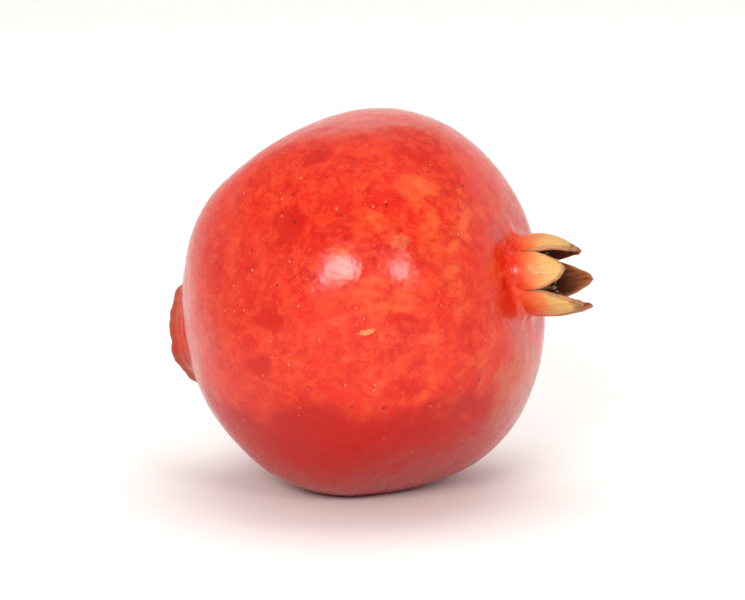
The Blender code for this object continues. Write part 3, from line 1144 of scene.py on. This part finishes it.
def stamen_material():
    """Dried filaments, dark at the foot and straw-coloured at the tip, with grey-brown anthers."""
    made, tree, shader = new_material("dried_stamen")
    tip = attribute_out(tree, "tip")
    cloud = clouds(tree, object_place(tree), Scale=700.0, Softness=0.2)
    straw = blended(tree, cloud, (0.66, 0.46, 0.30), (0.40, 0.22, 0.12))
    colour = blended(tree, eased(tree, tip, 0.1, 0.9), (0.22, 0.08, 0.035), straw)
    anther = blended(tree, cloud, (0.44, 0.31, 0.18), (0.16, 0.10, 0.06))
    colour = blended(tree, eased(tree, tip, 1.1, 1.3), colour, anther)
    tree.links.new(colour, shader.inputs["Base Color"])
    tree.links.new(eased(tree, cloud, 0.0, 1.0, 0.6, 0.85), shader.inputs["Roughness"])
    raise_relief(tree, shader, cloud, 0.4, 0.00004)
    return made


# The stalk


def stub_mesh(name, settings):
    """The cut end of the stalk: furrowed bark, and a rough face with a pith hollow."""
    around = np.linspace(0, 2 * math.pi, STUB_COLUMNS, endpoint=False)
    furrows = wavering(around, ((5, 0.5, 0.4), (8, 0.3, 2.0), (13, 0.25, 4.4), (21, 0.15, 1.0)))
    socket_floor = body_surface(direction_of(math.pi, np.float64(0)), BOSS_PROFILE[1][1])[2]
    foot = socket_floor - GAP
    face = foot - STUB_LENGTH
    profile = (
        (0.30, foot, 0.0),
        (0.86, foot, 0.0),
        (0.92, foot - 0.0004, 0.0),
        (0.95, foot - STUB_LENGTH * 0.35, 0.0),
        (0.97, foot - STUB_LENGTH * 0.7, 0.0),
        (0.96, face + 0.0004, 0.3),
        (0.86, face + 0.0001, 0.9),
        (0.55, face + 0.0002, 1.0),
        (0.25, face + 0.0006, 1.0),
        (0.12, face + 0.0011, 1.0),
    )
    skin = Skin("cut")
    for share, height, raw in smooth_path(profile, STUB_ROWS):
        depth = settings.ridge * furrows * min(1.0, share * 1.2) * (1 - 0.5 * raw)
        splinter = wavering(around, ((3, 0.00015, 1.0), (7, 0.0001, 0.3), (17, 0.00007, 2.0)))
        ring = turned(around, STUB_RADIUS * share + depth, height + splinter * raw)
        skin.add(ring, cut=raw)
    return skin_mesh(name, skin)


def stalk_material(settings):
    """Dry furrowed bark, paler on the cut face."""
    made, tree, shader = new_material("dry_stalk")
    cut = attribute_out(tree, "cut")
    streaks = fibres(tree, 1400.0, 0.15, 0.18)
    patches = clouds(tree, object_place(tree), Scale=500.0, Softness=0.12)
    bark = blended(tree, streaks, settings.bark, (0.07, 0.035, 0.018))
    bark = blended(tree, patches, bark, (0.36, 0.27, 0.18))
    wood = blended(tree, patches, (0.46, 0.31, 0.17), (0.22, 0.12, 0.06))
    colour = blended(tree, eased(tree, cut, 0.4, 0.9), bark, wood)
    tree.links.new(colour, shader.inputs["Base Color"])
    tree.links.new(eased(tree, streaks, 0.0, 1.0, 0.7, 0.9), shader.inputs["Roughness"])
    raise_relief(tree, shader, math_out(tree, "ADD", streaks, patches), 0.8, 0.0001)
    return made


# Operators


class POMEGRANATE_OT_fruit(bpy.types.Operator):
    """Makes the fruit: rind, boss and crown in one skin"""

    bl_idname = "pomegranate.fruit"
    bl_label = "Fruit"

    def execute(self, context):
        settings = context.scene.pomegranate.rind
        skin = Skin("crown", "inside", "edge", "boss", "body")
        add_boss_and_body(skin)
        add_neck_and_crown(skin)
        add_cup(skin)
        fruit = link_object("pomegranate_fruit", skin_mesh("pomegranate_fruit", skin))
        values = {
            "Swelling": settings.swelling,
            "Pucker": settings.pucker,
            "Seed": settings.seed,
            "Material": rind_material(settings),
        }
        run_tree(fruit, rind_relief_tree(), values)
        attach(fruit, "root")
        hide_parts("fruit")
        return {"FINISHED"}


class POMEGRANATE_OT_stamens(bpy.types.Operator):
    """Makes the tuft of dried stamens in the crown"""

    bl_idname = "pomegranate.stamens"
    bl_label = "Stamens"

    def execute(self, context):
        settings = context.scene.pomegranate.stamens
        tuft = link_object("dried_stamens", bpy.data.meshes.new("dried_stamens"))
        values = {
            "Count": settings.count,
            "Spread": CUP_FLOOR_RADIUS,
            "Length": settings.length,
            "Thickness": settings.thickness,
            "Seed": settings.seed,
            "Material": stamen_material(),
        }
        run_tree(tuft, stamen_tree(), values)
        foot = drooped(np.array((0.0, 0.0, NOTCH_HEIGHT - CUP_DEPTH - GAP)))
        lean = Matrix.Rotation(-math.atan(DROOP) / 2, 4, "Y")
        tuft.data.transform(fruit_frame() @ Matrix.Translation(foot) @ lean)
        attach(tuft, "root")
        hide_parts("stamens")
        return {"FINISHED"}


class POMEGRANATE_OT_stalk_stub(bpy.types.Operator):
    """Makes the dry cut end of the stalk"""

    bl_idname = "pomegranate.stalk_stub"
    bl_label = "Stalk Stub"

    def execute(self, context):
        settings = context.scene.pomegranate.stalk
        stub = link_object("cut_stalk", stub_mesh("cut_stalk", settings))
        stub.data.materials.append(stalk_material(settings))
        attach(stub, "root")
        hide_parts("stalk_stub")
        return {"FINISHED"}


def add_floor():
    """A pale floor that sweeps up all round into a low wall."""
    bm = bmesh.new()
    profile = [(0.0, 0.0), (FLOOR_RADIUS, 0.0)]
    for step in range(1, SWEEP_STEPS + 1):
        angle = step / SWEEP_STEPS * math.pi / 2
        out, up = math.sin(angle), 1 - math.cos(angle)
        profile.append((FLOOR_RADIUS + SWEEP_RADIUS * out, SWEEP_RADIUS * up))
    profile.append((FLOOR_RADIUS + SWEEP_RADIUS, WALL_TOP))
    verts = [bm.verts.new((x, 0.0, z)) for x, z in profile]
    edges = [bm.edges.new(pair) for pair in zip(verts, verts[1:])]
    bmesh.ops.spin(
        bm,
        geom=verts + edges,
        cent=(0, 0, 0),
        axis=(0, 0, 1),
        angle=math.tau,
        steps=FLOOR_SIDES,
    )
    bmesh.ops.remove_doubles(bm, verts=bm.verts, dist=1e-5)
    bmesh.ops.recalc_face_normals(bm, faces=bm.faces)
    mesh = bpy.data.meshes.new("studio_floor")
    bm.to_mesh(mesh)
    bm.free()
    mesh.shade_smooth()
    floor = link_object("studio_floor", mesh)
    made, _, shader = new_material("pale_floor")
    shader.inputs["Base Color"].default_value = (0.90, 0.89, 0.875, 1.0)
    shader.inputs["Roughness"].default_value = 0.8
    mesh.materials.append(made)


def add_lamp(name, place, target, size, power, glossy):
    light = bpy.data.lights.new(name, "AREA")
    light.shape = "RECTANGLE"
    light.size, light.size_y = size
    light.energy = power
    lamp = bpy.data.objects.new(name, light)
    lamp.location = place
    lamp.rotation_euler = (target - place).to_track_quat("-Z", "Y").to_euler()
    lamp.visible_glossy = glossy
    bpy.context.scene.collection.objects.link(lamp)


class POMEGRANATE_OT_stage(bpy.types.Operator):
    """Makes the pale floor, the soft lamps and the camera"""

    bl_idname = "pomegranate.stage"
    bl_label = "Stage"

    def execute(self, context):
        settings = context.scene.pomegranate.stage
        scene = context.scene
        add_floor()
        world = bpy.data.worlds.new("studio")
        world.use_nodes = True
        background = world.node_tree.nodes["Background"]
        background.inputs["Color"].default_value = (1.0, 0.995, 0.985, 1.0)
        background.inputs["Strength"].default_value = 0.45
        scene.world = world
        scene.view_settings.view_transform = "Standard"
        scene.view_settings.look = "Medium High Contrast"

        low, high = (Vector(corner) for corner in CAD_BOX)
        middle = Vector((0.002, 0.0, (low.z + high.z) / 2))
        back = Vector((0.0, -math.cos(settings.elevation), math.sin(settings.elevation)))
        back = Matrix.Rotation(settings.azimuth, 3, "Z") @ back
        camera_data = bpy.data.cameras.new("camera")
        camera_data.lens = LENS
        camera = bpy.data.objects.new("camera", camera_data)
        camera.location = middle + back * settings.distance
        camera.rotation_euler = (-back).to_track_quat("-Z", "Y").to_euler()
        scene.collection.objects.link(camera)
        scene.camera = camera

        for name, place, size, share, glossy in LAMPS:
            power = settings.lamp_power * share
            add_lamp(name, middle + Vector(place), middle, size, power, glossy)
        return {"FINISHED"}


class POMEGRANATE_PT_panel(bpy.types.Panel):
    bl_label = "Pomegranate"
    bl_idname = "POMEGRANATE_PT_panel"
    bl_space_type = "VIEW_3D"
    bl_region_type = "UI"
    bl_category = "Pomegranate"

    def draw(self, context):
        layout = self.layout
        settings = context.scene.pomegranate
        rows = (
            (settings.rind, "pomegranate.fruit"),
            (settings.stamens, "pomegranate.stamens"),
            (settings.stalk, "pomegranate.stalk_stub"),
            (settings.stage, "pomegranate.stage"),
        )
        for group, operator in rows:
            box = layout.box()
            for name in group.__annotations__:
                box.prop(group, name)
            box.operator(operator)


CLASSES = (
    RindSettings,
    StamenSettings,
    StalkSettings,
    StageSettings,
    PomegranateSettings,
    POMEGRANATE_OT_fruit,
    POMEGRANATE_OT_stamens,
    POMEGRANATE_OT_stalk_stub,
    POMEGRANATE_OT_stage,
    POMEGRANATE_PT_panel,
)


def register():
    for cls in CLASSES:
        bpy.utils.register_class(cls)
    bpy.types.Scene.pomegranate = PointerProperty(type=PomegranateSettings)


def unregister():
    del bpy.types.Scene.pomegranate
    for cls in reversed(CLASSES):
        bpy.utils.unregister_class(cls)


def main():
    register()
    bpy.ops.pomegranate.fruit()
    bpy.ops.pomegranate.stamens()
    bpy.ops.pomegranate.stalk_stub()
    bpy.ops.pomegranate.stage()


if __name__ == "__main__":
    main()
